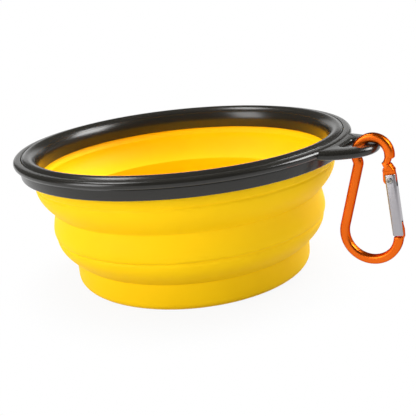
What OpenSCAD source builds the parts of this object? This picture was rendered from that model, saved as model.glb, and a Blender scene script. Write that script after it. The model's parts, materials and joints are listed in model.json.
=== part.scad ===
// Collapsible silicone travel bowl: a moulded accordion wall, a two-ring rim
// with a hang tab, and a spring-gate carabiner. Millimetres, +Z up, the origin
// at the middle of the flat base, and the hang tab along +X.

/* [Silicone wall] */
// Height of the base cup, from the table to the lower crease
base_h = 10.5; // [9:0.1:16]
// Height of the lower fold, from its crease to its groove
lower_fold_h = 9.9; // [8:0.1:13]
// Height of the middle band, between the two folds
middle_band_h = 10.6; // [7:0.1:13]
// Height of the upper fold, from its crease to its groove
upper_fold_h = 10.7; // [8:0.1:14]
// Height of the upper band, from its groove to the bottom of the rim
upper_band_h = 4.3; // [4:0.1:8]
// Radial step from the middle band in to the base cup
base_step = 7; // [5.5:0.1:12]
// Wall of the stiff bands
band_wall = 2.25; // [1.8:0.05:2.6]
// Wall of the thin folds, measured level
fold_wall = 1.5; // [1:0.05:2]
// Thickness of the floor
floor_t = 2.2; // [1.5:0.1:3.5]
// Radius of the foot where the base cup meets the table
foot_round = 3; // [1:0.1:4]
// How far the bulge of the middle band stands out from its lower groove
bulge = 0.75; // [0.3:0.05:1.2]
// How far the middle band draws in at the upper crease
crease_in = 1.5; // [1:0.1:2.5]
// How far the upper band draws in from the rim to its groove
upper_taper = 0.9; // [0.3:0.1:1.4]
// Thickness of the lip that the rim clamps
lip_t = 2; // [1.5:0.1:3]

/* [Rim rings] */
// Outside diameter of the rim, over the bead
rim_d = 130; // [120:1:170]
// Radius of the rounded bead round the outer ring
bead_r = 1.4; // [1:0.1:1.8]
// How far the bead stands out from the skirt
bead_proud = 1.95; // [1:0.05:2.2]
// Height of the shelf that the lip sits on, above the bottom of the skirt
shelf_h = 3.5; // [2.4:0.1:4]
// Distance from the edge of the bead in to the seam between the rings
seam_inset = 2.9; // [2.8:0.1:3.6]
// Distance from the edge of the bead in to the crest of the inner ring
crest_inset = 5; // [4.4:0.1:6]
// Distance from the edge of the bead in to the bore of the inner ring
bore_inset = 8.8; // [8:0.1:11]
// Thickness of the inner ring over the lip, at its crest
crest_t = 2.1; // [1.5:0.1:3]
// Wall of the inner ring's sleeve
sleeve_t = 0.9; // [0.7:0.05:1.4]
// How far the sleeve reaches below the skirt
sleeve_drop = 1.6; // [1:0.1:4]
// Radial gap from the sleeve to the middle band that telescopes inside it
nest_gap = 1.9; // [1:0.1:4]

/* [Hang tab] */
// How far the tab reaches beyond the bead
tab_reach = 13.6; // [12:0.2:16]
// Thickness of the tab
tab_t = 3.1; // [2.8:0.1:3.6]
// Height of the tab's underside above the bottom of the skirt
tab_lift = 3.45; // [3:0.05:3.7]
// Radius of the tab's rounded tip
tab_tip_r = 13.5; // [12.5:0.1:14.5]
// Radius of the tab's bowed sides
tab_side_r = 20; // [17:0.5:30]
// Width of the bar beyond the hole, where the carabiner hangs
tab_bar_w = 4.3; // [3.6:0.1:4.6]
// Radius of the D-shaped hole in the tab
tab_hole_r = 5.8; // [5.4:0.1:6.4]
// Width of the web between the bead and the flat side of the hole
tab_web = 2.3; // [1.6:0.1:2.8]

/* [Carabiner] */
// Width of the rod in the plane of the loop
rod_w = 3.1; // [2.8:0.1:3.6]
// Thickness of the rod across the loop
rod_t = 3.3; // [3:0.1:4]
// Inside radius of the small bow that hangs on the tab
bow_r = 4.2; // [4.1:0.1:5.5]
// Inside radius of the large basket end
basket_r = 8.1; // [7:0.1:10]
// Distance from the centre of the bow down to the centre of the basket
loop_drop = 28.4; // [28:0.2:40]
// Width of the gate in the plane of the loop
gate_w = 3.6; // [3.4:0.1:4.2]
// Distance from the gate's rivet to its closing end
gate_reach = 19.7; // [19:0.05:20.2]
// Diameter of the rivet's shank
rivet_d = 1.3; // [1:0.1:1.6]
// Diameter of the spring's bore in the gate
bore_d = 2; // [1.8:0.1:2.2]
// Wire of the gate spring
wire_d = 0.35; // [0.25:0.05:0.4]
// Turns of the gate spring
spring_turns = 7; // [5:1:8]

/* [Hidden] */
$fn = 96;
curve_steps = 12;
corner_steps = 4;
overrun = 1;

// Clearances: clamped faces, moving faces, and the bow on its bar
clamp_gap = 0.05;
run_gap = 0.1;
hang_gap = 0.4;

// Stretches that join end to end lap into each other, and every other one is a hair thinner
run_lap = 0.15;
run_ease = 0.015;

silicone = "#FFD313";
rim_grey = "#3A3A3A";
anodised = "#E2571B";
bare_metal = "#B9B8BA";

// Levels of the wall, from the table up
lower_groove_z = base_h + lower_fold_h;
upper_crease_z = lower_groove_z + middle_band_h;
upper_groove_z = upper_crease_z + upper_fold_h;
skirt_z = upper_groove_z + upper_band_h;
shelf_z = skirt_z + shelf_h;
lip_top_z = shelf_z + lip_t;
crest_z = lip_top_z + crest_t;

// Radii of the rim, from the bead in
rim_r = rim_d / 2;
skirt_r = rim_r - bead_proud;
seam_r = rim_r - seam_inset;
crest_r = rim_r - crest_inset;
sleeve_r = rim_r - bore_inset;

// Radii of the wall, from the rim in
upper_in_r = sleeve_r + sleeve_t + clamp_gap;
upper_r = upper_in_r + band_wall;
upper_groove_r = upper_r - upper_taper;
middle_r = sleeve_r - nest_gap;
lower_groove_r = middle_r - bulge;
upper_crease_r = middle_r - crease_in;
base_r = middle_r - base_step;

// Outline of the hang tab: a tip arc that runs on into two bowed sides
tab_z = skirt_z + tab_lift + tab_t / 2;
tab_edge_r = tab_t / 2;
tab_tip_x = rim_r + tab_reach - tab_tip_r;
tab_tip_angle = 48;
tab_side_angle = 100;
tab_side_x = tab_tip_x - (tab_side_r - tab_tip_r) * cos(tab_tip_angle);
tab_side_y = (tab_side_r - tab_tip_r) * sin(tab_tip_angle);
tab_root_r = (skirt_r + seam_r) / 2;
tab_hole_x = rim_r + tab_reach - tab_bar_w - tab_hole_r;
tab_hole_round = 1.3;

// Carabiner loop, in its own plane with the centre of the bow at zero
bow_mid_r = bow_r + rod_w / 2;
basket_mid_r = basket_r + rod_w / 2;
rod_round = 1;
bow_x = rim_r + tab_reach - tab_bar_w / 2;
bow_z = tab_z + tab_t / 2 + hang_gap - bow_r;
basket_shift = -0.95;
basket_p = [basket_shift, -loop_drop];
spine_lean = 13.3;
gate_lean = 7.3;
bow_end_angle = -8;
neck_angle = -40;
neck_w = 2.1;

// The spine is a tangent of the basket, and a kink arc joins it to the bow
kink_r = 2.6;
spine_dir = [sin(spine_lean), cos(spine_lean)];
spine_out = [-cos(spine_lean), sin(spine_lean)];
spine_foot = basket_p + basket_mid_r * spine_out;
kink_off = spine_foot * spine_out + kink_r;
kink_along = -sqrt((bow_mid_r + kink_r) ^ 2 - kink_off ^ 2);
kink_p = kink_off * spine_out + kink_along * spine_dir;
kink_angle = 360 + atan2(kink_p.y, kink_p.x);
spine_len = kink_along - spine_foot * spine_dir;

// The gate lies along a tangent on the other side, up to its rivet
rivet_up = 18.9;
rivet_p = basket_p + basket_mid_r * [cos(gate_lean), sin(gate_lean)]
    + rivet_up * [-sin(gate_lean), cos(gate_lean)];
gate_t = rod_t;
gate_round = 0.8;
gate_over = 1.95;
end_gap = 0.45;

// Hinge tongue in the gate's fork: its cam end bears on the plunger
blade_t = 1.3;
head_t = rod_t - 2 * run_gap;
head_h = 6.3;
head_shares = [
    [-0.6, 1], [0.15, 0.88], [0.5, 0.5], [-0.63, 0.5], [-0.62, 0.54], [-0.43, 0.71]
];
cam_r = gate_w / 2;
cam_offset = 0.85;
fork_depth = 2.4;

// Nose blade in the slot at the gate's closing end
nose_h = 4.5;
nose_root = 1.6;
nose_proud = 0.35;
stop_wall = 0.95;
slot_over = 0.5;

// Rivet heads, plunger and spring
rivet_head_r = 1.05;
rivet_head_h = 0.4;
plunger_head_h = 2.5;
plunger_stem_r = 0.4;
plunger_stem_h = 2.8;
bore_from = 1.4;
spring_room = 7.4;
bore_to = cam_r + clamp_gap + plunger_head_h + spring_room;
coil_r = bore_d / 2 - run_gap - wire_d / 2;
rings_per_turn = 8;
wire_sides = 6;

// Curves of the wall: Bezier arcs between named points

function quad_point(a, b, c, t) = (1 - t) ^ 2 * a + 2 * t * (1 - t) * b + t ^ 2 * c;

function cubic_point(a, b, c, d, t) =
    (1 - t) ^ 3 * a + 3 * t * (1 - t) ^ 2 * b + 3 * t ^ 2 * (1 - t) * c + t ^ 3 * d;

function reversed(list) = [for (i = [len(list) - 1:-1:0]) list[i]];

// Quarter arc from angle a0 to a1 about a centre
function arc_points(centre, r, a0, a1) = [
    for (i = [0:curve_steps])
        let (a = a0 + (a1 - a0) * i / curve_steps)
        centre + r * [cos(a), sin(a)]
];

// Outer face of a fold: a slope that turns upright at its shoulder
shoulder_r_share = 0.98;
shoulder_z_share = 0.505;
function fold_face(from_r, from_z, to_r, to_z) = [
    for (i = [0:curve_steps])
        quad_point(
            [from_r, from_z],
            [from_r + (to_r - from_r) * shoulder_r_share, from_z + (to_z - from_z) * shoulder_z_share],
            [to_r, to_z],
            i / curve_steps
        )
];

// A fold is as thick as the bands at its two ends and thins out between them
function fold_wall_at(i) =
    fold_wall + (band_wall - fold_wall) * abs(2 * i / curve_steps - 1) ^ 3;

function fold_outline(face) = concat(
    face,
    reversed([for (i = [0:curve_steps]) face[i] - [fold_wall_at(i), 0]])
);

// Silicone wall, from the table up

module revolved(points) {
    rotate_extrude() polygon(points);
}

module base_cup() {
    floor_round = foot_round + band_wall / 2;
    in_r = base_r - band_wall;
    color(silicone) revolved(concat(
        [[0, 0]],
        arc_points([base_r - foot_round, foot_round], foot_round, -90, 0),
        [[base_r, base_h], [in_r, base_h]],
        arc_points([in_r - floor_round, floor_t + floor_round], floor_round, 0, -90),
        [[0, floor_t]]
    ));
}

module lower_fold() {
    color(silicone) revolved(fold_outline(fold_face(base_r, base_h, lower_groove_r, lower_groove_z)));
}

module middle_band() {
    low_z_share = 0.27;
    low_r_share = 1.4;
    high_z_share = 0.6;
    high_r_share = 0.2;
    face = [
        for (i = [0:curve_steps])
            cubic_point(
                [lower_groove_r, lower_groove_z],
                [middle_r + bulge * low_r_share, lower_groove_z + middle_band_h * low_z_share],
                [upper_crease_r + crease_in * high_r_share, lower_groove_z + middle_band_h * high_z_share],
                [upper_crease_r, upper_crease_z],
                i / curve_steps
            )
    ];
    color(silicone) revolved(concat(
        face,
        reversed([for (p = face) p - [band_wall, 0]])
    ));
}

module upper_fold() {
    color(silicone) revolved(fold_outline(
        fold_face(upper_crease_r, upper_crease_z, upper_groove_r, upper_groove_z)
    ));
}

// The top band ends in the lip that lies between the two rim rings
module upper_band() {
    lip_r = seam_r - 2 * clamp_gap;
    color(silicone) revolved([
        [upper_groove_r, upper_groove_z],
        [upper_r, skirt_z],
        [upper_r, shelf_z],
        [lip_r, shelf_z],
        [lip_r, lip_top_z - clamp_gap],
        [upper_in_r, lip_top_z - clamp_gap],
        [upper_in_r, skirt_z - sleeve_drop],
        [upper_groove_r - band_wall, upper_groove_z]
    ]);
}

// Rim: an outer ring with a shelf for the lip, and an inner ring that snaps in

snap_h = 0.3;
snap_z_share = 0.33;
snap_z = lip_top_z + crest_t * snap_z_share;
function snap_points(r, depth) = [
    [r, snap_z - snap_h], [r + depth, snap_z], [r, snap_z + snap_h]
];

module outer_ring() {
    bead_p = [rim_r - bead_r, lip_top_z - clamp_gap];
    skirt_round = 0.45;
    bead_foot_angle = -acos((skirt_r - bead_p.x) / bead_r);
    revolved(concat(
        [[upper_r + clamp_gap, skirt_z]],
        arc_points([skirt_r - skirt_round, skirt_z + skirt_round], skirt_round, -90, 0),
        arc_points(bead_p, bead_r, bead_foot_angle, 90),
        [[seam_r, bead_p.y + bead_r]],
        reversed(snap_points(seam_r, snap_h)),
        [[seam_r, shelf_z], [upper_r + clamp_gap, shelf_z]]
    ));
}

// Sector of the tab out to one arc of its outline, with a full-round edge
module tab_sector(r, from_angle, to_angle, ease = 0) {
    edge_r = tab_edge_r - ease;
    edge = arc_points([r - tab_edge_r, 0], edge_r, -90, 90);
    rotate(from_angle)
        rotate_extrude(angle = to_angle - from_angle)
        polygon(concat([[0, -edge_r]], edge, [[0, edge_r]]));
}

// The tip sector laps into the two side sectors
module tab_blank() {
    tip_half = tab_tip_angle + run_lap / tab_tip_r * 180 / PI;
    translate([tab_tip_x, 0]) tab_sector(tab_tip_r, -tip_half, tip_half, run_ease);
    for (side = [0, 1])
        mirror([0, side, 0])
        translate([tab_side_x, -tab_side_y])
        tab_sector(tab_side_r, tab_tip_angle, tab_side_angle);
}

// Round hole with rounded edges, cut off flat on the side of the ring
module tab_hole() {
    half = tab_t / 2;
    flare_r = tab_hole_r + tab_hole_round;
    upper = arc_points([flare_r, half - tab_hole_round], tab_hole_round, 180, 90);
    intersection() {
        translate([tab_hole_x, 0]) rotate(180) revolved(concat(
            [[0, -half - overrun], [flare_r, -half - overrun]],
            reversed([for (p = upper) [p.x, -p.y]]),
            upper,
            [[flare_r, half + overrun], [0, half + overrun]]
        ));
        translate([rim_r + tab_web, -flare_r - overrun, -tab_t])
            cube([2 * flare_r, 2 * (flare_r + overrun), 2 * tab_t]);
    }
}

// The ring and the hole start their revolve on the side away from the tip
module outer_rim() {
    color(rim_grey) {
        rotate(180) outer_ring();
        translate([0, 0, tab_z]) difference() {
            tab_blank();
            rotate(180) cylinder(r = tab_root_r, h = tab_t + 2 * overrun, center = true);
            tab_hole();
        }
    }
}

// The inner ring rolls over from its crest into the sleeve inside the lip
module inner_rim() {
    edge_r = seam_r - clamp_gap;
    edge_z = lip_top_z - clamp_gap + bead_r;
    roll_w = crest_r - sleeve_r;
    roll_h_share = 1.25;
    roll_h = roll_w * roll_h_share;
    roll = [
        for (i = [0:curve_steps])
            let (a = 90 * i / curve_steps)
            [crest_r - roll_w * sin(a), crest_z - roll_h + roll_h * cos(a)]
    ];
    color(rim_grey) revolved(concat(
        [[sleeve_r + sleeve_t, lip_top_z], [edge_r, lip_top_z]],
        snap_points(edge_r, snap_h),
        [[edge_r, edge_z]],
        roll,
        [[sleeve_r, skirt_z - sleeve_drop], [sleeve_r + sleeve_t, skirt_z - sleeve_drop]]
    ));
}

// Carabiner

// Places a drawing of the loop in the upright plane through the tab
module in_loop() {
    translate([bow_x, 0, bow_z]) rotate([90, 0, 0]) children();
}

// Places a drawing in the gate's frame: the rivet at zero and the gate along -Y
module in_gate() {
    in_loop() translate(rivet_p) rotate(gate_lean) children();
}

// Half of a bar's section with rounded corners, right of its middle
function half_bar(w, t, round_r) = concat(
    [for (i = [0:corner_steps]) let (a = 90 * (i / corner_steps - 1))
        [w / 2 - round_r + round_r * cos(a), -t / 2 + round_r + round_r * sin(a)]],
    [for (i = [0:corner_steps]) let (a = 90 * i / corner_steps)
        [w / 2 - round_r + round_r * cos(a), t / 2 - round_r + round_r * sin(a)]]
);

module bar_section(w, t, round_r) {
    right = half_bar(w, t, round_r);
    polygon(concat(right, [for (p = right) -p]));
}

module rod_section(ease = 0) {
    bar_section(rod_w - 2 * ease, rod_t - 2 * ease, rod_round);
}

module rod_arc(mid_r, from_angle, to_angle, ease = 0, lap = 0) {
    lap_angle = lap / mid_r * 180 / PI;
    rotate(from_angle - lap_angle)
        rotate_extrude(angle = to_angle - from_angle + 2 * lap_angle)
        translate([mid_r, 0]) rod_section(ease);
}

// Bow, spine and basket, with the basket cut off square below the gate
module loop_rod() {
    rod_arc(bow_mid_r, bow_end_angle, kink_angle);
    translate(kink_p) rod_arc(kink_r, -spine_lean, kink_angle - 180, run_ease, run_lap);
    translate(spine_foot)
        rotate(90 - spine_lean)
        rotate([90, 0, 90])
        linear_extrude(spine_len) rod_section();
    difference() {
        translate(basket_p)
            rod_arc(basket_mid_r, 180 - spine_lean, 360 + gate_lean, run_ease, run_lap);
        translate(rivet_p)
            rotate(gate_lean)
            translate([-basket_r, -gate_reach - end_gap, -rod_t])
            cube([2 * basket_r, gate_reach, 2 * rod_t]);
    }
}

// Narrow neck that carries on round the inside of the bow to the hinge head
module neck() {
    neck_round_share = 0.8;
    neck_round = rod_round * neck_round_share;
    lap_angle = run_lap / bow_mid_r * 180 / PI;
    rotate(neck_angle)
        rotate_extrude(angle = bow_end_angle - neck_angle + lap_angle)
        translate([bow_r + run_gap + neck_w / 2, 0]) bar_section(neck_w, head_t, neck_round);
}

module hinge_head() {
    points = [for (s = head_shares) [s.x * gate_w, s.y * head_h]];
    linear_extrude(head_t, center = true) polygon(points);
}

// Tongue: one round about the rivet and a cam beside it
module hinge_tongue() {
    top_share = head_shares[2].y;
    in_share = head_shares[3].x;
    difference() {
        linear_extrude(blade_t, center = true) {
            circle(cam_r);
            translate([-cam_offset, 0]) circle(cam_r);
            polygon([
                [-cam_offset - cam_r, 0],
                [cam_r, 0],
                [gate_w / 2, (head_h + cam_r) * top_share],
                [in_share * gate_w, (head_h + cam_r) * top_share]
            ]);
        }
        cylinder(d = rivet_d + 2 * clamp_gap, h = rod_t, center = true);
    }
}

// Nose blade that the gate shuts against
module nose() {
    nose_root_share = 0.25;
    out_x = gate_w / 2 + nose_proud;
    in_x = -gate_w / 2 + stop_wall + run_gap;
    root_y = -gate_reach - end_gap;
    linear_extrude(blade_t, center = true) polygon([
        [in_x, root_y - nose_root],
        [rod_w / 2 - nose_root * nose_root_share, root_y - nose_root],
        [out_x - nose_proud / 2, root_y],
        [out_x, -gate_reach + nose_h / 2],
        [out_x - nose_proud, -gate_reach + nose_h],
        [in_x + nose_proud, -gate_reach + nose_h],
        [in_x, -gate_reach + nose_h - nose_proud]
    ]);
}

module carabiner_body() {
    color(anodised) {
        in_loop() {
            loop_rod();
            neck();
        }
        in_gate() {
            hinge_head();
            hinge_tongue();
            nose();
        }
    }
}

// Gate: forked at the rivet, bored for the spring, and slotted for the nose
module carabiner_gate() {
    slot_t = blade_t + 2 * run_gap;
    color(bare_metal) in_gate() difference() {
        translate([0, -gate_reach])
            rotate([-90, 0, 0])
            linear_extrude(gate_reach + gate_over) bar_section(gate_w, gate_t, gate_round);
        translate([-gate_w, -fork_depth, -slot_t / 2])
            cube([2 * gate_w, fork_depth + gate_over + overrun, slot_t]);
        translate([-gate_w / 2 + stop_wall, -gate_reach - overrun, -slot_t / 2])
            cube([gate_w, overrun + nose_h + slot_over, slot_t]);
        translate([0, -bore_from])
            rotate([90, 0, 0])
            cylinder(d = bore_d, h = bore_to - bore_from);
        cylinder(d = rivet_d + 2 * clamp_gap, h = gate_t + 2 * overrun, center = true);
    }
}

// Rivet with a domed head on each side of the gate
module gate_rivet() {
    under = gate_t / 2 + clamp_gap;
    dome = [
        for (i = [0:curve_steps])
            let (a = 90 * i / curve_steps)
            [rivet_head_r * cos(a), under + rivet_head_h * sin(a)]
    ];
    half = concat([[rivet_d / 2, under]], dome);
    color(bare_metal) in_gate() revolved(concat(
        reversed([for (p = half) [p.x, -p.y]]),
        half
    ));
}

// Plunger: a head that runs in the bore and a stem inside the spring
module gate_plunger() {
    head_r = bore_d / 2 - run_gap;
    color(bare_metal) in_gate()
        translate([0, -cam_r - clamp_gap])
        rotate([90, 0, 0])
        revolved([
            [0, 0], [head_r, 0], [head_r, plunger_head_h],
            [plunger_stem_r, plunger_head_h],
            [plunger_stem_r, plunger_head_h + plunger_stem_h],
            [0, plunger_head_h + plunger_stem_h]
        ]);
}

// Spring: one tube wound along a helix between the plunger and the end of the bore

spring_len = spring_room - 2 * clamp_gap;
spring_rings = spring_turns * rings_per_turn;
spring_rise = (spring_len - wire_d) / spring_rings;

function coil_centre(i) =
    let (a = 360 * i / rings_per_turn)
    [coil_r * cos(a), coil_r * sin(a), wire_d / 2 + spring_rise * i];

function coil_ring(i) =
    let (
        a = 360 * i / rings_per_turn,
        out = [cos(a), sin(a), 0],
        run = 2 * PI * coil_r / rings_per_turn,
        along = [-sin(a) * run, cos(a) * run, spring_rise],
        up = cross(out, along) / norm(along)
    )
    [
        for (k = [0:wire_sides - 1])
            let (b = 360 * k / wire_sides)
            coil_centre(i) + wire_d / 2 * (cos(b) * out - sin(b) * up)
    ];

// Least gap between turns, measured between ring centres over half a turn apart
coil_gap = min([
    for (i = [0:spring_rings], j = [i + rings_per_turn / 2 + 1:1:spring_rings])
        norm(coil_centre(i) - coil_centre(j)) - wire_d
]);

module gate_spring() {
    last = spring_rings * wire_sides;
    points = [for (i = [0:spring_rings]) each coil_ring(i)];
    sides = [
        for (i = [0:spring_rings - 1], k = [0:wire_sides - 1])
            let (
                a = i * wire_sides + k,
                b = i * wire_sides + (k + 1) % wire_sides
            )
            each [[a, b, a + wire_sides], [b, b + wire_sides, a + wire_sides]]
    ];
    caps = [
        for (k = [1:wire_sides - 2])
            each [[0, k + 1, k], [last, last + k, last + k + 1]]
    ];
    echo(least_gap_between_turns = coil_gap);
    color(bare_metal) in_gate()
        translate([0, -cam_r - 2 * clamp_gap - plunger_head_h])
        rotate([90, 0, 0])
        polyhedron(points, concat(sides, caps));
}

base_cup();
lower_fold();
middle_band();
upper_fold();
upper_band();
outer_rim();
inner_rim();
carabiner_body();
carabiner_gate();
gate_rivet();
gate_spring();
gate_plunger();
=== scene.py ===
import json
from math import asin, atan2, cos, degrees, pi, radians, sin, sqrt

import bmesh
import bpy
from mathutils import Matrix, Vector
from mathutils.geometry import interpolate_bezier

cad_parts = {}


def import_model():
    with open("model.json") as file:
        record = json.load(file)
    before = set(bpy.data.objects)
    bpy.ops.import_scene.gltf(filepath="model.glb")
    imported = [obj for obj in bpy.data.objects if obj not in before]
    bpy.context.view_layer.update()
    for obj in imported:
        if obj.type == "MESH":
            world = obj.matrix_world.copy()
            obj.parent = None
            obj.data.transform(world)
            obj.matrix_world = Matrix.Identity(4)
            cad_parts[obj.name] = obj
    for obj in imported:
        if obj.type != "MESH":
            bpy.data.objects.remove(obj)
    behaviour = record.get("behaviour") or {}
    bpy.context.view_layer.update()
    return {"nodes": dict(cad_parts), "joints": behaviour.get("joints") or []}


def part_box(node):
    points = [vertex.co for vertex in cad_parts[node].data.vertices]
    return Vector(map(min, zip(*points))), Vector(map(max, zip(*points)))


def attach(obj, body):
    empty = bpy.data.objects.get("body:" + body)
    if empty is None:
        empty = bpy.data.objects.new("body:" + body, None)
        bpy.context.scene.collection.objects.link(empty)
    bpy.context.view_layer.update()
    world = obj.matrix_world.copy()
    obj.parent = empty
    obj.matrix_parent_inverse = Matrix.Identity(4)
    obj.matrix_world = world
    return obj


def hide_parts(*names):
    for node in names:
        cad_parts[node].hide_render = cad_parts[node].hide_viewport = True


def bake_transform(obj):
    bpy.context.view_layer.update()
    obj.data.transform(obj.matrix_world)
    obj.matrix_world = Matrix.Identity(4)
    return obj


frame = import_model()
mm = 0.001
print("frame loaded with", len(frame["nodes"]), "nodes")


# Materials

def hexColour(code):
    parts = [int(code[i:i + 2], 16) / 255 for i in (1, 3, 5)]
    return [c / 12.92 if c <= 0.04045 else ((c + 0.055) / 1.055) ** 2.4 for c in parts] + [1]


def addNode(tree, kind, inputs=None, **settings):
    node = tree.nodes.new(kind)
    for name, value in settings.items():
        setattr(node, name, value)
    for socket, value in (inputs or {}).items():
        if isinstance(value, bpy.types.NodeSocket):
            tree.links.new(value, node.inputs[socket])
        else:
            node.inputs[socket].default_value = value
    return node


def newMaterial(name):
    material = bpy.data.materials.new(name)
    material.use_nodes = True
    tree = material.node_tree
    return material, tree, tree.nodes["Principled BSDF"]


def noise(tree, at, size, detail):
    made = addNode(tree, "ShaderNodeTexNoise", {"Vector": at, "Scale": 1 / size, "Detail": detail})
    return made.outputs["Fac"]


def dressShader(tree, shader, look, tintBy, roughBy, reliefBy):
    # What every material shares: a drift between two colours, uneven roughness and a fine relief
    tint = addNode(tree, "ShaderNodeMix", {
        0: tintBy, 6: hexColour(look["colour"]), 7: hexColour(look["otherColour"]),
    }, data_type="RGBA")
    rough = addNode(tree, "ShaderNodeMapRange", {
        "Value": roughBy, "To Min": look["roughness"][0], "To Max": look["roughness"][1],
    })
    bump = addNode(tree, "ShaderNodeBump", {
        "Height": reliefBy, "Strength": look["relief"], "Distance": look["depth"],
    })
    tree.links.new(tint.outputs[2], shader.inputs["Base Color"])
    tree.links.new(rough.outputs["Result"], shader.inputs["Roughness"])
    tree.links.new(bump.outputs["Normal"], shader.inputs["Normal"])


siliconeLook = {
    "colour": "#FFD10D",
    "otherColour": "#FBC807",
    "mottle": 16 * mm,          # slow drift of the pigment
    "grit": 0.5 * mm,           # blasted mould face, drawn coarser than the real 0.1 mm so that it shows
    "relief": 0.15,
    "depth": 0.02 * mm,
    "roughness": (0.5, 0.6),
    "ior": 1.41,
    "sheen": 0.12,              # the dusty face mirrors little
}


def siliconeMaterial(look):
    # Liquid silicone rubber from a blasted mould: a satin face with no sharp highlight
    material, tree, shader = newMaterial("MouldedSilicone")
    at = addNode(tree, "ShaderNodeTexCoord").outputs["Object"]
    mottle = noise(tree, at, look["mottle"], 3)
    grit = noise(tree, at, look["grit"], 2)
    dressShader(tree, shader, look, mottle, grit, grit)
    shader.inputs["IOR"].default_value = look["ior"]
    shader.inputs["Specular IOR Level"].default_value = look["sheen"]
    return material


rimLook = {
    "colour": "#191814",
    "otherColour": "#211F1A",
    "flow": 22 * mm,            # faint flow marks from the gate of the mould
    "peel": 2.5 * mm,           # slight waviness of a moulded gloss face
    "relief": 0.2,
    "depth": 0.03 * mm,
    "roughness": (0.2, 0.27),
    "ior": 1.5,
}


def rimMaterial(look):
    # ABS from a polished mould: dark grey, semi-gloss, soft-edged reflections
    material, tree, shader = newMaterial("MouldedAbs")
    at = addNode(tree, "ShaderNodeTexCoord").outputs["Object"]
    flow = noise(tree, at, look["flow"], 4)
    peel = noise(tree, at, look["peel"], 1)
    dressShader(tree, shader, look, flow, flow, peel)
    shader.inputs["IOR"].default_value = look["ior"]
    return material


anodisedLook = {
    "colour": "#F0701F",
    "otherColour": "#E5641A",
    "edgeTint": "#6E1802",      # seen flat along the surface, light crosses more of the dye
    "cloud": 6 * mm,            # dye that took a little unevenly
    "grain": 0.25 * mm,         # tumbled surface under the dye
    "relief": 0.06,
    "depth": 0.015 * mm,
    "roughness": (0.28, 0.4),
}


def anodisedMaterial(look):
    # Dyed anodised aluminium, tumbled before dyeing: metal that reflects in orange
    material, tree, shader = newMaterial("AnodisedAluminium")
    at = addNode(tree, "ShaderNodeTexCoord").outputs["Object"]
    cloud = noise(tree, at, look["cloud"], 3)
    grain = noise(tree, at, look["grain"], 2)
    dressShader(tree, shader, look, cloud, grain, grain)
    shader.inputs["Metallic"].default_value = 1
    shader.inputs["Specular Tint"].default_value = hexColour(look["edgeTint"])
    return material


gateLean = radians(7.3)
gateLook = {
    "colour": "#A5A2A6",
    "otherColour": "#B4B1B5",
    "lineWide": 0.18 * mm,
    "lineLong": 6 * mm,
    "tilt": gateLean,           # the bar is drawn along its length
    "relief": 0.15,
    "depth": 0.009 * mm,
    "roughness": (0.3, 0.42),
}
steelLook = {
    "colour": "#8E8C8A",
    "otherColour": "#A4A2A0",
    "lineWide": 0.3 * mm,
    "lineLong": 0.6 * mm,
    "tilt": 0,
    "relief": 0.15,
    "depth": 0.015 * mm,
    "roughness": (0.18, 0.28),
}


def brushedMaterial(name, look):
    # Drawn metal: fine lines along the draw, which spread the highlight across it
    material, tree, shader = newMaterial(name)
    at = addNode(tree, "ShaderNodeTexCoord").outputs["Object"]
    across, along = 1 / look["lineWide"], 1 / look["lineLong"]
    drawn = addNode(tree, "ShaderNodeMapping", {
        "Vector": at, "Rotation": (0, look["tilt"], 0), "Scale": (across, across, along),
    })
    lines = noise(tree, drawn.outputs["Vector"], 1, 3)
    dressShader(tree, shader, look, lines, lines, lines)
    shader.inputs["Metallic"].default_value = 1
    return material


silicone = siliconeMaterial(siliconeLook)
rimPlastic = rimMaterial(rimLook)
anodised = anodisedMaterial(anodisedLook)
gateMetal = brushedMaterial("DrawnAluminium", gateLook)
rivetSteel = brushedMaterial("PlatedSteel", steelLook)
print("materials made:", len(bpy.data.materials))


# Shared tools

meshing = {
    "weld": 0.001 * mm,
    "sliver": 0.002 * mm,
    "sharp": radians(38),       # a fold sharper than this stays an edge in the shading
}


def smooth(data):
    data.shade_smooth()
    data.set_sharp_from_angle(angle=meshing["sharp"])


def newPiece(name, bm, material, body=None, replaces=()):
    bmesh.ops.remove_doubles(bm, verts=bm.verts, dist=meshing["weld"])
    bmesh.ops.recalc_face_normals(bm, faces=bm.faces)
    data = bpy.data.meshes.new(name)
    bm.to_mesh(data)
    bm.free()
    data.materials.append(material)
    smooth(data)
    piece = bpy.data.objects.new(name, data)
    bpy.context.scene.collection.objects.link(piece)
    if replaces:
        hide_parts(*replaces)
    if body:
        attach(piece, body)
    return piece


def roundOff(bm, geom, radius, segments, affect="EDGES"):
    bmesh.ops.bevel(bm, geom=geom, offset=radius, offset_type="OFFSET", affect=affect,
                    segments=segments, profile=0.5, material=-1)


def roundEnds(bm, radius):
    # The end faces of a bar are the only ones with more than four corners
    edges = [e for e in bm.edges if any(len(f.verts) > 4 for f in e.link_faces)]
    roundOff(bm, edges, radius, 3)


def extrude(bm, faces, vec):
    made = bmesh.ops.extrude_face_region(bm, geom=faces)["geom"]
    moved = [g for g in made if isinstance(g, bmesh.types.BMVert)]
    bmesh.ops.translate(bm, vec=vec, verts=moved)
    return made, moved


def bezier(start, startPull, endPull, end, steps):
    points = [Vector(p) for p in (start, startPull, endPull, end)]
    return [tuple(p) for p in interpolate_bezier(*points, steps)]


def curve(start, pull, end, steps=16):
    # Both ends point at the pull
    start, pull, end = Vector(start), Vector(pull), Vector(end)
    handle = 2 / 3
    return bezier(start, start.lerp(pull, handle), end.lerp(pull, handle), end, steps)


def valley(start, end, steps=8):
    # S-curve that stands upright at both ends
    middle = (start[1] + end[1]) / 2
    return bezier(start, (start[0], middle), (end[0], middle), end, steps)


def arc(centre, radius, fromAngle, toAngle, steps=18):
    angles = [radians(fromAngle + (toAngle - fromAngle) * i / steps) for i in range(steps + 1)]
    return [(centre[0] + radius * cos(a), centre[1] + radius * sin(a)) for a in angles]


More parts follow.
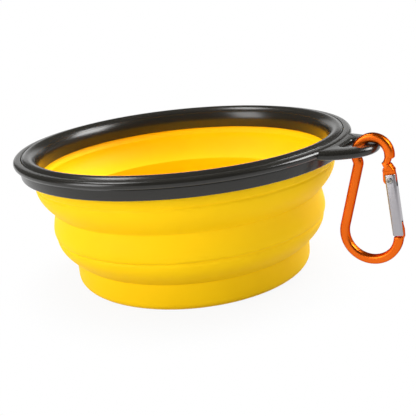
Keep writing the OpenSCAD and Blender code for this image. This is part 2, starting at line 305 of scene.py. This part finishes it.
def spunRing(outline, closed=True, steps=192):
    # Outline points are (radius, height) or (radius, height, corner radius)
    bm = bmesh.new()
    ring = [bm.verts.new((p[0], 0, p[1])) for p in outline]
    ends = ring[1:] + ring[:1] if closed else ring[1:]
    for a, b in zip(ring, ends):
        bm.edges.new((a, b))
    for vert, point in zip(ring, outline):
        if len(point) > 2:
            roundOff(bm, [vert], point[2], 8, "VERTICES")
    bmesh.ops.spin(bm, geom=bm.verts[:] + bm.edges[:], cent=(0, 0, 0), axis=(0, 0, 1),
                   angle=2 * pi, steps=steps, use_merge=True)
    return bm


def combine(piece, other, operation):
    # Fuses the closed shells of one moulding, or cuts one from the other, and drops what lies inside
    change = piece.modifiers.new("combine", "BOOLEAN")
    change.operation = operation
    change.solver = "MANIFOLD"
    change.object = other
    graph = bpy.context.evaluated_depsgraph_get()
    data = bpy.data.meshes.new_from_object(piece.evaluated_get(graph))
    piece.modifiers.clear()
    piece.data = data
    bpy.data.objects.remove(other)


def resmooth(piece):
    # Clears the slivers that a fuse or a cut leaves behind
    bm = bmesh.new()
    bm.from_mesh(piece.data)
    bmesh.ops.dissolve_degenerate(bm, dist=meshing["sliver"], edges=bm.edges)
    bmesh.ops.triangulate(bm, faces=[f for f in bm.faces if len(f.verts) > 4])
    bm.to_mesh(piece.data)
    bm.free()
    smooth(piece.data)


def topOf(node):
    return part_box(node)[1].z


def bottomOf(node):
    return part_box(node)[0].z


def reachOf(node):
    return -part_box(node)[0].x    # on the side away from the tab


# Silicone wall: one moulding on the bowl, in five rings so that its bands can slide into each other

wall = {
    "band": 2.25 * mm,
    "fold": 1.5 * mm,
    "floor": 2.2 * mm,
    "foot": 3 * mm,
    "floorRound": 4.1 * mm,
    "creaseIn": 1.5 * mm,
    "bulge": 0.75 * mm,
    "grooveDeep": 0.22 * mm,
    "grooveHigh": 0.9 * mm,
    "shoulderShares": (0.98, 0.505),    # of a fold's width and of its height
    "bellyShares": (1.4, 0.27),         # of the bulge and of the middle band's height
    "browShares": (0.2, 0.6),           # of the crease's depth and of the middle band's height
}
rim = {
    "bead": 1.4 * mm,
    "beadStart": -128,
    "proud": 1.95 * mm,
    "skirt": (                  # set back from the skirt's widest line, height on the skirt, corner radius
        (0.25 * mm, 0, 0.45 * mm), (0, 2.2 * mm, 1.4 * mm),
        (0.06 * mm, 3.9 * mm, 0.3 * mm), (0.4 * mm, 4.28 * mm),
    ),
    "seamIn": 2.9 * mm,
    "seamRound": 0.3 * mm,
    "seamGap": 0.2 * mm,
    "seamStep": (0.3 * mm, 0.04 * mm),  # where the inner ring's top starts, from its edge
    "seamPull": 1 * mm,
    "crestIn": 5 * mm,
    "boreIn": 8.8 * mm,
    "sleeve": 0.9 * mm,
    "sleeveRound": (0.35 * mm, 0.2 * mm),
    "lip": 2 * mm,
    "lipRound": 0.7 * mm,
    "shelf": 3.5 * mm,
    "rollHigh": 6.2 * mm,
    "clamp": 0.05 * mm,
}
rimR = reachOf("outer_rim")
sleeveR = rimR - rim["boreIn"]
upperInR = sleeveR + rim["sleeve"] + rim["clamp"]
upperR = upperInR + wall["band"]
skirtZ = bottomOf("outer_rim")
shelfZ = skirtZ + rim["shelf"]
lipZ = shelfZ + rim["lip"]

lowCrease = (reachOf("base_cup"), topOf("base_cup"))
lowGroove = (reachOf("lower_fold"), topOf("lower_fold"))
highCrease = (reachOf("middle_band") - wall["creaseIn"], topOf("middle_band"))
highGroove = (reachOf("upper_fold"), topOf("upper_fold"))


def baseCup():
    r, z = lowCrease
    inner = r - wall["band"]
    outline = [
        (0, 0), (r, 0, wall["foot"]), (r, z),
        (inner, z), (inner, wall["floor"], wall["floorRound"]), (0, wall["floor"]),
    ]
    newPiece("base_cup_silicone", spunRing(outline, closed=False), silicone, "base", ["base_cup"])


def foldRing(name, low, high, node):
    # A slope that turns upright at its shoulder, thinnest half way
    across, up = wall["shoulderShares"]
    shoulder = (low[0] + (high[0] - low[0]) * across, low[1] + (high[1] - low[1]) * up)
    pinch = 2 * wall["fold"] - wall["band"]
    brow = (high[0], high[1] - wall["grooveHigh"])
    outer = curve(low, shoulder, brow) + valley(brow, (high[0] - wall["grooveDeep"], high[1]))[1:]
    inner = curve((high[0] - wall["band"], high[1]), (shoulder[0] - pinch, shoulder[1]),
                  (low[0] - wall["band"], low[1]))
    return newPiece(name, spunRing(outer + inner), silicone, None, [node])


def middleBand():
    low, high = lowGroove, highCrease
    rise = high[1] - low[1]
    bellyOut, bellyUp = wall["bellyShares"]
    browOut, browUp = wall["browShares"]
    bellyPull = (reachOf("middle_band") + wall["bulge"] * bellyOut, low[1] + rise * bellyUp)
    browPull = (high[0] + wall["creaseIn"] * browOut, low[1] + rise * browUp)
    outer = bezier(low, bellyPull, browPull, high, 16)
    inner = [(r - wall["band"], z) for r, z in reversed(outer)]
    belly = [p for p in outer if p[1] > low[1] + wall["grooveHigh"]]
    outer = valley((low[0] - wall["grooveDeep"], low[1]), belly[0])[:-1] + belly
    newPiece("middle_band_silicone", spunRing(outer + inner), silicone, "middle", ["middle_band"])


def upperBand():
    r, z = highGroove
    lipR = rimR - rim["seamIn"] - 2 * rim["clamp"]
    top = lipZ - rim["clamp"]
    outline = valley((r - wall["grooveDeep"], z), (r + wall["grooveDeep"], z + wall["grooveHigh"]))
    outline += [
        (upperR, skirtZ), (upperR, shelfZ), (lipR, shelfZ), (lipR, top),
        (upperInR, top, rim["lipRound"]), (upperInR, bottomOf("inner_rim")), (r - wall["band"], z),
    ]
    newPiece("upper_band_silicone", spunRing(outline), silicone, "rim", ["upper_band"])


baseCup()
lowerFold = foldRing("lower_fold_silicone", lowCrease, lowGroove, "lower_fold")
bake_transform(lowerFold)
middleBand()
upperFold = foldRing("upper_fold_silicone", highCrease, highGroove, "upper_fold")
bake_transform(upperFold)
upperBand()
print("silicone wall spun")


# Rim: the outer ring with its hang tab, and the inner ring that snaps into it

tab = {
    "reach": 13.6 * mm,
    "thick": 3.1 * mm,
    "lift": 3.45 * mm,
    "tipR": 13.5 * mm,
    "sideR": 20 * mm,
    "tipAngle": 48,
    "sideAngle": 89,
    "rootR": 62.6 * mm,         # inside the wall of the ring
    "rootAngle": 11,
    "rootDeep": 0.5 * mm,       # edges that lie nearer to the root than this stay square
    "barWide": 4.3 * mm,
    "holeR": 5.8 * mm,
    "holeSlack": 0.01 * mm,
    "web": 2.3 * mm,            # from the bead to the flat side of the hole
    "cornerRound": 1 * mm,
    "holeRound": 1.2 * mm,
    "edgeRound": 1.45 * mm,
    "squareEdge": 1,            # radians: the tab's own edges turn by more than this
}


def hangTab():
    tipX = rimR + tab["reach"] - tab["tipR"]
    offset = tab["sideR"] - tab["tipR"]
    lean = radians(tab["tipAngle"])
    sideX, sideY = tipX - offset * cos(lean), offset * sin(lean)
    upper = arc((sideX, -sideY), tab["sideR"], tab["sideAngle"], tab["tipAngle"], 14)
    tip = arc((tipX, 0), tab["tipR"], tab["tipAngle"], -tab["tipAngle"], 28)
    lower = [(x, -y) for x, y in reversed(upper)]
    edge = upper[:-1] + tip + lower[1:]
    holeX = rimR + tab["reach"] - tab["barWide"] - tab["holeR"]
    cornerR = tab["cornerRound"]
    cornerX = rimR + tab["web"] + cornerR
    cornerY = sqrt((tab["holeR"] - cornerR) ** 2 - (cornerX - holeX) ** 2)
    turn = degrees(atan2(cornerY, cornerX - holeX))
    far = arc((cornerX, cornerY), cornerR, 180, turn, 8)
    near = [(x, -y) for x, y in reversed(far)]
    hole = arc((holeX, 0), tab["holeR"], turn, -turn, len(edge) - 1) + near[1:] + far[:-1]
    root = arc((0, 0), tab["rootR"], -tab["rootAngle"], tab["rootAngle"], len(hole) - len(edge) - 1)
    z = skirtZ + tab["lift"]
    bm = bmesh.new()
    outside, inside = [[bm.verts.new((x, y, z)) for x, y in line] for line in (edge + root, hole)]
    for i in range(len(outside)):
        bm.faces.new((outside[i - 1], outside[i], inside[i], inside[i - 1]))
    extrude(bm, bm.faces[:], (0, 0, tab["thick"]))
    bmesh.ops.recalc_face_normals(bm, faces=bm.faces)

    def onHole(line):
        holeReach = tab["holeR"] + tab["holeSlack"]
        return all((v.co.xy - Vector((holeX, 0))).length < holeReach for v in line.verts)

    def isRounded(line):
        a, b = [v.co for v in line.verts]
        upright = abs(a.z - b.z) > tab["thick"] / 2
        clearOfRoot = max(a.xy.length, b.xy.length) > tab["rootR"] + tab["rootDeep"]
        return not upright and clearOfRoot and line.calc_face_angle(0) > tab["squareEdge"]

    for wanted, radius in ((True, tab["holeRound"]), (False, tab["edgeRound"])):
        roundOff(bm, [e for e in bm.edges if onHole(e) == wanted and isRounded(e)], radius, 7)
    return newPiece("hang_tab_blank", bm, rimPlastic)


def outerRim():
    skirtR = rimR - rim["proud"]
    seamR = rimR - rim["seamIn"]
    top = topOf("outer_rim")
    beadAt = (rimR - rim["bead"], top - rim["bead"])
    innerR = upperR + rim["clamp"]
    outline = [(innerR, skirtZ)] + [(skirtR - p[0], skirtZ + p[1], *p[2:]) for p in rim["skirt"]]
    outline += arc(beadAt, rim["bead"], rim["beadStart"], 90)
    outline += [(seamR, top, rim["seamRound"]), (seamR, shelfZ), (innerR, shelfZ)]
    piece = newPiece("outer_rim_moulding", spunRing(outline), rimPlastic, None, ["outer_rim"])
    combine(piece, hangTab(), "UNION")
    resmooth(piece)
    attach(piece, "rim")


def innerRim():
    edgeR = rimR - rim["seamIn"] - rim["seamGap"]
    edgeZ = topOf("outer_rim")
    crest = (rimR - rim["crestIn"], topOf("inner_rim"))
    wide, high = crest[0] - sleeveR, rim["rollHigh"]
    quarter = 0.5523    # handle share that makes a Bezier quarter ellipse
    bottom = bottomOf("inner_rim")
    stepIn, stepUp = rim["seamStep"]
    innerRound, outerRound = rim["sleeveRound"]
    top = curve((edgeR - stepIn, edgeZ + stepUp), (edgeR - rim["seamPull"], crest[1]), crest, 10)
    roll = bezier(crest, (crest[0] - wide * quarter, crest[1]),
                  (sleeveR, crest[1] - high * (1 - quarter)), (sleeveR, crest[1] - high), 22)
    outline = [(sleeveR + rim["sleeve"], lipZ), (edgeR, lipZ), (edgeR, edgeZ, rim["seamRound"])]
    outline += top + roll[1:]
    outline += [(sleeveR, bottom, innerRound), (sleeveR + rim["sleeve"], bottom, outerRound)]
    newPiece("inner_rim_moulding", spunRing(outline), rimPlastic, "rim", ["inner_rim"])


outerRim()
innerRim()
print("rim rings and hang tab made")


# Carabiner: a bent rod, and a gate on its rivet

jointAt = {j["name"]: Vector(j["pos_m"]) for j in frame["joints"] if "pos_m" in j}
bowAt = jointAt["carabiner_swing"]
rivetAt = jointAt["gate_hinge"]
loop = {
    "rodWide": 3.1 * mm,
    "rodThick": 3.3 * mm,
    "rodRound": 1 * mm,
    "bowR": 4.2 * mm,
    "bowSteps": 56,
    "basketR": 8.1 * mm,
    "basketAt": (-0.95 * mm, -28.4 * mm),
    "basketSteps": 52,
    "lastStep": 6,              # degrees of the basket that are left to the slanted end
    "kinkR": 2.6 * mm,
    "kinkSteps": 14,
    "spineLean": 13.3,
    "bowEnd": -8,
    "neckEnd": -40,
    "neckLap": 12,              # degrees that the neck runs on inside the bow
    "neckIn": 0.1 * mm,
    "neckWide": 2.1 * mm,
    "neckThick": 2.95 * mm,
    "neckRound": 0.75 * mm,
    "headThick": 3.1 * mm,
    "headHigh": 6.3 * mm,
    "headRound": 0.3 * mm,
    "headShares": (             # of the gate's width and of the head's height
        (-0.6, 1), (0.15, 0.88), (0.5, 0.5), (-0.63, 0.5), (-0.62, 0.54), (-0.43, 0.71),
    ),
    "heelShare": -0.63,
    "bladeThick": 1.3 * mm,
    "bladeRound": 0.12 * mm,
    "camOffset": 0.85 * mm,
    "endGap": 0.45 * mm,
    "edge": 0.3 * mm,
}
gate = {
    "wide": 3.6 * mm,
    "thick": 3.3 * mm,
    "round": 0.8 * mm,
    "endRound": 0.25 * mm,
    "reach": 19.7 * mm,
    "over": 1.95 * mm,
    "forkDeep": 2.4 * mm,
    "slot": 1.5 * mm,
    "stop": 0.95 * mm,
    "noseHigh": 4.5 * mm,
    "slotOver": 0.5 * mm,
    "overrun": 1 * mm,
}


def turned(angle):
    return Matrix.Rotation(-angle, 4, "Y")    # from +X towards +Z


inGate = Matrix.Translation(rivetAt) @ turned(gateLean)


def barSection(bm, wide, thick, corner, place):
    made = bmesh.ops.create_grid(bm, x_segments=1, y_segments=1, size=0.5)
    verts = made["verts"]
    bmesh.ops.scale(bm, vec=(wide, thick, 1), verts=verts)
    before = set(bm.faces) - set(verts[0].link_faces)
    roundOff(bm, verts, corner, 6, "VERTICES")
    face = next(f for f in bm.faces if f not in before)
    bmesh.ops.transform(bm, matrix=place, verts=face.verts[:])
    return face


def lastFace(made):
    return next(g for g in made if isinstance(g, bmesh.types.BMFace))


def sweep(bm, face, centre, angle, steps, capped=False):
    # Positive angles turn from +X towards +Z; the face it starts from stays only as an end cap
    made = bmesh.ops.spin(bm, geom=[face], cent=centre, axis=(0, -1, 0), angle=angle, steps=steps)
    if not capped:
        bmesh.ops.delete(bm, geom=[face], context="FACES_ONLY")
    return lastFace(made["geom_last"])


def run(bm, face, vec, tilt=0):
    made, moved = extrude(bm, [face], vec)
    end = lastFace(made)
    if tilt:
        bmesh.ops.rotate(bm, cent=end.calc_center_median(), matrix=turned(tilt).to_3x3(), verts=moved)
    bmesh.ops.delete(bm, geom=[face], context="FACES_ONLY")
    return end


def flat(x, z):
    return Vector((x, 0, z))


def rodLoop():
    bowMid = loop["bowR"] + loop["rodWide"] / 2
    basketMid = loop["basketR"] + loop["rodWide"] / 2
    lean = radians(loop["spineLean"])
    basketAt = bowAt + flat(*loop["basketAt"])
    out = flat(-cos(lean), sin(lean))
    up = flat(sin(lean), cos(lean))
    foot = basketAt + out * basketMid - bowAt
    kinkOff = foot.dot(out) + loop["kinkR"]
    kinkAlong = -sqrt((bowMid + loop["kinkR"]) ** 2 - kinkOff ** 2)
    kinkAt = out * kinkOff + up * kinkAlong
    kinkAngle = 2 * pi + atan2(kinkAt.z, kinkAt.x)
    spineLong = kinkAlong - foot.dot(up)
    bowEnd = radians(loop["bowEnd"])
    gateUp = flat(-sin(gateLean), cos(gateLean))
    below = gate["reach"] + loop["endGap"] - (rivetAt - basketAt).dot(gateUp)
    slant = asin(below / basketMid)
    lastStep = radians(loop["lastStep"])

    bm = bmesh.new()
    start = Matrix.Translation(bowAt) @ turned(bowEnd) @ Matrix.Translation((bowMid, 0, 0))
    face = barSection(bm, loop["rodWide"], loop["rodThick"], loop["rodRound"], start)
    face = sweep(bm, face, bowAt, kinkAngle - bowEnd, loop["bowSteps"], capped=True)
    face = sweep(bm, face, bowAt + kinkAt, -(kinkAngle - pi + lean), loop["kinkSteps"])
    face = run(bm, face, up * -spineLong)
    face = sweep(bm, face, basketAt, pi + gateLean + lean - slant - lastStep, loop["basketSteps"])
    end = basketAt + turned(gateLean - slant) @ flat(basketMid, 0)
    run(bm, face, end - face.calc_center_median(), slant + lastStep)
    bmesh.ops.recalc_face_normals(bm, faces=bm.faces)
    roundEnds(bm, loop["edge"])
    return newPiece("carabiner_body_rod", bm, anodised, None, ["carabiner_body"])


def neck():
    wide = loop["neckWide"]
    mid = loop["bowR"] + loop["neckIn"] + wide / 2
    fromAngle, toAngle = radians(loop["neckEnd"]), radians(loop["bowEnd"]) + radians(loop["neckLap"])
    bm = bmesh.new()
    start = Matrix.Translation(bowAt) @ turned(fromAngle) @ Matrix.Translation((mid, 0, 0))
    face = barSection(bm, wide, loop["neckThick"], loop["neckRound"], start)
    sweep(bm, face, bowAt, toAngle - fromAngle, 12, capped=True)
    return newPiece("neck_blank", bm, anodised)


def plate(name, outline, thick, edge):
    # A flat piece in the gate's frame: (across, along) points, thick through the loop
    bm = bmesh.new()
    face = bm.faces.new([bm.verts.new((x, -thick / 2, z)) for x, z in outline])
    extrude(bm, [face], (0, thick, 0))
    bmesh.ops.recalc_face_normals(bm, faces=bm.faces)
    smoothTurn = radians(25)
    roundOff(bm, [e for e in bm.edges if e.calc_face_angle(0) > smoothTurn], edge, 3)
    bmesh.ops.transform(bm, matrix=inGate, verts=bm.verts)
    return newPiece(name, bm, anodised)


def hingeHead():
    wide, high = gate["wide"], loop["headHigh"]
    outline = [(x * wide, z * high) for x, z in loop["headShares"]]
    return plate("head_blank", outline, loop["headThick"], loop["headRound"])


def hingeTongue():
    r = gate["wide"] / 2
    top = (loop["headHigh"] + r) / 2
    outline = arc((0, 0), r, 0, -90, 10)
    outline += arc((-loop["camOffset"], 0), r, -90, -180, 10)
    outline += [(loop["heelShare"] * gate["wide"], top), (r, top)]
    return plate("tongue_blank", outline, loop["bladeThick"], loop["bladeRound"])


tooth = {
    "proud": 0.35 * mm,
    "root": 1.6 * mm,           # how far it is sunk into the rod's end
    "clear": 0.1 * mm,
    "edge": 0.15 * mm,
}


def nose():
    half = gate["wide"] / 2
    proud, root = tooth["proud"], tooth["root"]
    outX, inX = half + proud, -half + gate["stop"] + tooth["clear"]
    low, high = -gate["reach"] - loop["endGap"], -gate["reach"] + gate["noseHigh"]
    outline = [
        (inX, low - root), (loop["rodWide"] / 2 - root / 4, low - root), (outX - proud / 2, low),
        (outX, (low + high) / 2), (outX - proud, high), (inX + proud, high), (inX, high - proud),
    ]
    return plate("nose_blank", outline, loop["bladeThick"], tooth["edge"])


def carabinerBody():
    piece = rodLoop()
    for part in (neck(), hingeHead(), hingeTongue(), nose()):
        combine(piece, part, "UNION")
    resmooth(piece)
    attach(piece, "carabiner")


def block(low, high):
    bm = bmesh.new()
    made = bmesh.ops.create_cube(bm, size=1)
    bmesh.ops.scale(bm, vec=Vector(high) - Vector(low), verts=made["verts"])
    bmesh.ops.translate(bm, vec=(Vector(low) + Vector(high)) / 2, verts=made["verts"])
    return bm


def cutter(low, high):
    bm = block(low, high)
    bmesh.ops.transform(bm, matrix=inGate, verts=bm.verts)
    return newPiece("cutter", bm, gateMetal)


def carabinerGate():
    halfW, halfT, over = gate["wide"] / 2, gate["thick"] / 2, gate["overrun"]
    bm = block((-halfW, -halfT, -gate["reach"]), (halfW, halfT, gate["over"]))
    long = [e for e in bm.edges if abs(e.verts[0].co.z - e.verts[1].co.z) > halfW]
    roundOff(bm, long, gate["round"], 7)
    roundEnds(bm, gate["endRound"])
    bmesh.ops.transform(bm, matrix=inGate, verts=bm.verts)
    piece = newPiece("carabiner_gate_bar", bm, gateMetal, None, ["carabiner_gate"])
    slot = gate["slot"] / 2
    fork = cutter((-2 * halfW, -slot, -gate["forkDeep"]), (2 * halfW, slot, gate["over"] + over))
    combine(piece, fork, "DIFFERENCE")
    noseTop = -gate["reach"] + gate["noseHigh"] + gate["slotOver"]
    mouth = cutter((-halfW + gate["stop"], -slot, -gate["reach"] - over), (2 * halfW, slot, noseTop))
    combine(piece, mouth, "DIFFERENCE")
    resmooth(piece)
    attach(piece, "gate")


rivet = {
    "play": 0.05 * mm,          # under each head
    "head": (                   # radius, height over the head's underside, corner radius
        (0.65 * mm, 0), (1.05 * mm, 0), (1.05 * mm, 0.18 * mm, 0.14 * mm), (0.8 * mm, 0.4 * mm, 0.12 * mm),
        (0.5 * mm, 0.38 * mm, 0.1 * mm), (0.28 * mm, 0.2 * mm), (0, 0.2 * mm),
    ),
}


def gateRivet():
    # Semi-tubular rivet: a rolled edge round a dimple on each side
    under = gate["thick"] / 2 + rivet["play"]
    half = [(p[0], under + p[1], *p[2:]) for p in rivet["head"]]
    outline = [(p[0], -p[1], *p[2:]) for p in reversed(half)] + half
    bm = spunRing(outline, closed=False, steps=48)
    bmesh.ops.transform(bm, matrix=inGate @ Matrix.Rotation(pi / 2, 4, "X"), verts=bm.verts)
    newPiece("gate_rivet_steel", bm, rivetSteel, "carabiner", ["gate_rivet"])


spring = {
    "wire": 0.35 * mm,
    "wireSides": 10,
    "coilR": 0.725 * mm,
    "turns": 7,
    "turnSteps": 24,
    "top": 4.4 * mm,            # below the rivet, under the plunger's head
    "long": 7.3 * mm,
}


def gateSpring():
    # Coil inside the gate
    bm = bmesh.new()
    bmesh.ops.create_circle(bm, cap_ends=True, segments=spring["wireSides"], radius=spring["wire"] / 2)
    place = Matrix.Translation((spring["coilR"], 0, -spring["top"] - spring["wire"] / 2))
    bmesh.ops.transform(bm, matrix=place @ Matrix.Rotation(pi / 2, 4, "X"), verts=bm.verts)
    steps = spring["turnSteps"] * spring["turns"]
    drop = (spring["long"] - spring["wire"]) / steps
    bmesh.ops.spin(bm, geom=bm.faces[:], cent=(0, 0, 0), axis=(0, 0, 1), dvec=(0, 0, -drop),
                   angle=2 * pi * spring["turns"], steps=steps)
    bmesh.ops.transform(bm, matrix=inGate, verts=bm.verts)
    piece = newPiece("gate_spring_coil", bm, rivetSteel, None, ["gate_spring"])
    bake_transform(piece)


carabinerBody()
carabinerGate()
gateRivet()
gateSpring()
plunger = frame["nodes"]["gate_plunger"]
plunger.data.materials.clear()
plunger.data.materials.append(rivetSteel)
print("carabiner made")


# Stage: floor, light and camera

stage = {
    "floorSize": 12,
    "floorDrop": 0.05 * mm,      # keeps the floor clear of the bowl's base
    "floorColour": "#C2C2C2",    # what the light that reaches the bowl bounces from
    "floorRough": 0.9,
    "shade": 0.08,               # share of the floor's own shade that shows next to the bowl
    "shadeReach": (46 * mm, 80 * mm),
    "cardAway": 1.5,
    "cardWide": 1.6,
    "cardHigh": 0.45,
    "ambient": 0.53,
    "gloss": 0.12,               # the dark room that the glossy faces mirror
    "aim": (0, 0, 30 * mm),      # what the lamps point at
}
shot = {
    "at": (149.6 * mm, -217.6 * mm, 106.5 * mm),
    "heading": 32.91,
    "down": 17.71,
    "roll": -5.56,
    "lens": 59.09,
    "sensor": 36,
    "nearest": 10 * mm,
}
lamps = {
    # (right, towards the camera, up) from the aim, (wide, high), watts,
    # whether it lights the dull faces, whether the glossy ones mirror it
    "left": ((-0.82, 0.44, 0.3), (0.42, 0.64), 5, True, True),
    "front": ((0, 0.85, 0.45), (0.5, 0.5), 1, True, False),
    "top": ((0.2, -0.3, 0.85), (0.7, 0.7), 12.5, True, False),
    "backRight": ((0.65, -0.5, 0.4), (0.5, 0.5), 5.4, True, False),
    "backLeft": ((-0.65, -0.5, 0.5), (0.5, 0.5), 2.4, True, False),
    "right": ((0.82, -0.03, 0.5), (0.52, 0.42), 9, False, True),
    "overhead": ((-0.42, -0.1, 0.85), (0.4, 0.25), 3.2, False, True),
}
white = (1, 1, 1, 1)


def floorMaterial():
    # White sweep: seen as white, with the bowl's own shade left in close to it
    material, tree, shader = newMaterial("PaleFloor")
    shader.inputs["Base Color"].default_value = hexColour(stage["floorColour"])
    shader.inputs["Roughness"].default_value = stage["floorRough"]
    path = addNode(tree, "ShaderNodeLightPath")
    seen = addNode(tree, "ShaderNodeMath", {
        0: path.outputs["Is Camera Ray"], 1: path.outputs["Is Glossy Ray"]}, operation="MAXIMUM")
    seen = addNode(tree, "ShaderNodeMath", {
        0: seen.outputs[0], 1: path.outputs["Is Transmission Ray"]}, operation="MAXIMUM")
    at = addNode(tree, "ShaderNodeTexCoord").outputs["Object"]
    away = addNode(tree, "ShaderNodeVectorMath", {0: at}, operation="LENGTH")
    clean = addNode(tree, "ShaderNodeMapRange", {
        "Value": away.outputs["Value"],
        "From Min": stage["shadeReach"][0], "From Max": stage["shadeReach"][1],
        "To Min": 1 - stage["shade"], "To Max": 1,
    }, interpolation_type="SMOOTHSTEP")
    share = addNode(tree, "ShaderNodeMath", {
        0: seen.outputs[0], 1: clean.outputs["Result"]}, operation="MULTIPLY")
    glow = addNode(tree, "ShaderNodeEmission", {"Color": white, "Strength": 1})
    both = addNode(tree, "ShaderNodeMixShader", {
        0: share.outputs[0], 1: shader.outputs["BSDF"], 2: glow.outputs["Emission"]})
    tree.links.new(both.outputs["Shader"], tree.nodes["Material Output"].inputs["Surface"])
    return material


def floor(material):
    bm = bmesh.new()
    bmesh.ops.create_grid(bm, x_segments=1, y_segments=1, size=stage["floorSize"] / 2)
    bmesh.ops.translate(bm, vec=(0, 0, -stage["floorDrop"]), verts=bm.verts)
    newPiece("floor", bm, material)


def backdrop(material):
    # Low white card behind the bowl, which the rim mirrors at its two ends
    bm = bmesh.new()
    half, high = stage["cardWide"] / 2, stage["cardHigh"]
    corners = [(-half, 0), (half, 0), (half, high), (-half, high)]
    bm.faces.new([bm.verts.new((x, stage["cardAway"], z)) for x, z in corners])
    facing = Matrix.Rotation(radians(shot["heading"]), 3, "Z")
    bmesh.ops.rotate(bm, cent=(0, 0, 0), matrix=facing, verts=bm.verts)
    newPiece("backdrop", bm, material)


def world():
    made = bpy.data.worlds.new("Studio")
    bpy.context.scene.world = made
    made.use_nodes = True
    tree = made.node_tree
    path = addNode(tree, "ShaderNodeLightPath")
    level = addNode(tree, "ShaderNodeMapRange", {
        "Value": path.outputs["Is Glossy Ray"], "To Min": stage["ambient"], "To Max": stage["gloss"]})
    room = tree.nodes["Background"]
    room.inputs["Color"].default_value = white
    tree.links.new(level.outputs["Result"], room.inputs["Strength"])
    seen = addNode(tree, "ShaderNodeBackground", {"Color": white, "Strength": 1})
    both = addNode(tree, "ShaderNodeMixShader", {
        0: path.outputs["Is Camera Ray"], 1: room.outputs["Background"], 2: seen.outputs["Background"]})
    tree.links.new(both.outputs["Shader"], tree.nodes["World Output"].inputs["Surface"])


def camera():
    data = bpy.data.cameras.new("photo_camera")
    data.lens = shot["lens"]
    data.sensor_width = shot["sensor"]
    data.clip_start = shot["nearest"]
    piece = bpy.data.objects.new("photo_camera", data)
    bpy.context.scene.collection.objects.link(piece)
    piece.matrix_world = (
        Matrix.Translation(shot["at"]) @ Matrix.Rotation(radians(shot["heading"]), 4, "Z")
        @ Matrix.Rotation(radians(90 - shot["down"]), 4, "X")
        @ Matrix.Rotation(radians(shot["roll"]), 4, "Z"))
    bpy.context.scene.camera = piece


def light(name, offset, size, watts, lights, mirrored):
    heading = radians(shot["heading"])
    right = Vector((cos(heading), sin(heading), 0))
    near = Vector((sin(heading), -cos(heading), 0))
    target = Vector(stage["aim"])
    data = bpy.data.lights.new(name, "AREA")
    data.shape = "RECTANGLE"
    data.size, data.size_y = size
    data.energy = watts
    piece = bpy.data.objects.new(name, data)
    bpy.context.scene.collection.objects.link(piece)
    at = target + right * offset[0] + near * offset[1] + Vector((0, 0, offset[2]))
    piece.location = at
    piece.rotation_euler = (target - at).to_track_quat("-Z", "Y").to_euler()
    piece.visible_diffuse = lights
    piece.visible_glossy = mirrored


camera()
pale = floorMaterial()
floor(pale)
backdrop(pale)
world()
for name, settings in lamps.items():
    light(name, *settings)
bpy.context.scene.view_settings.view_transform = "Standard"
print("stage set")
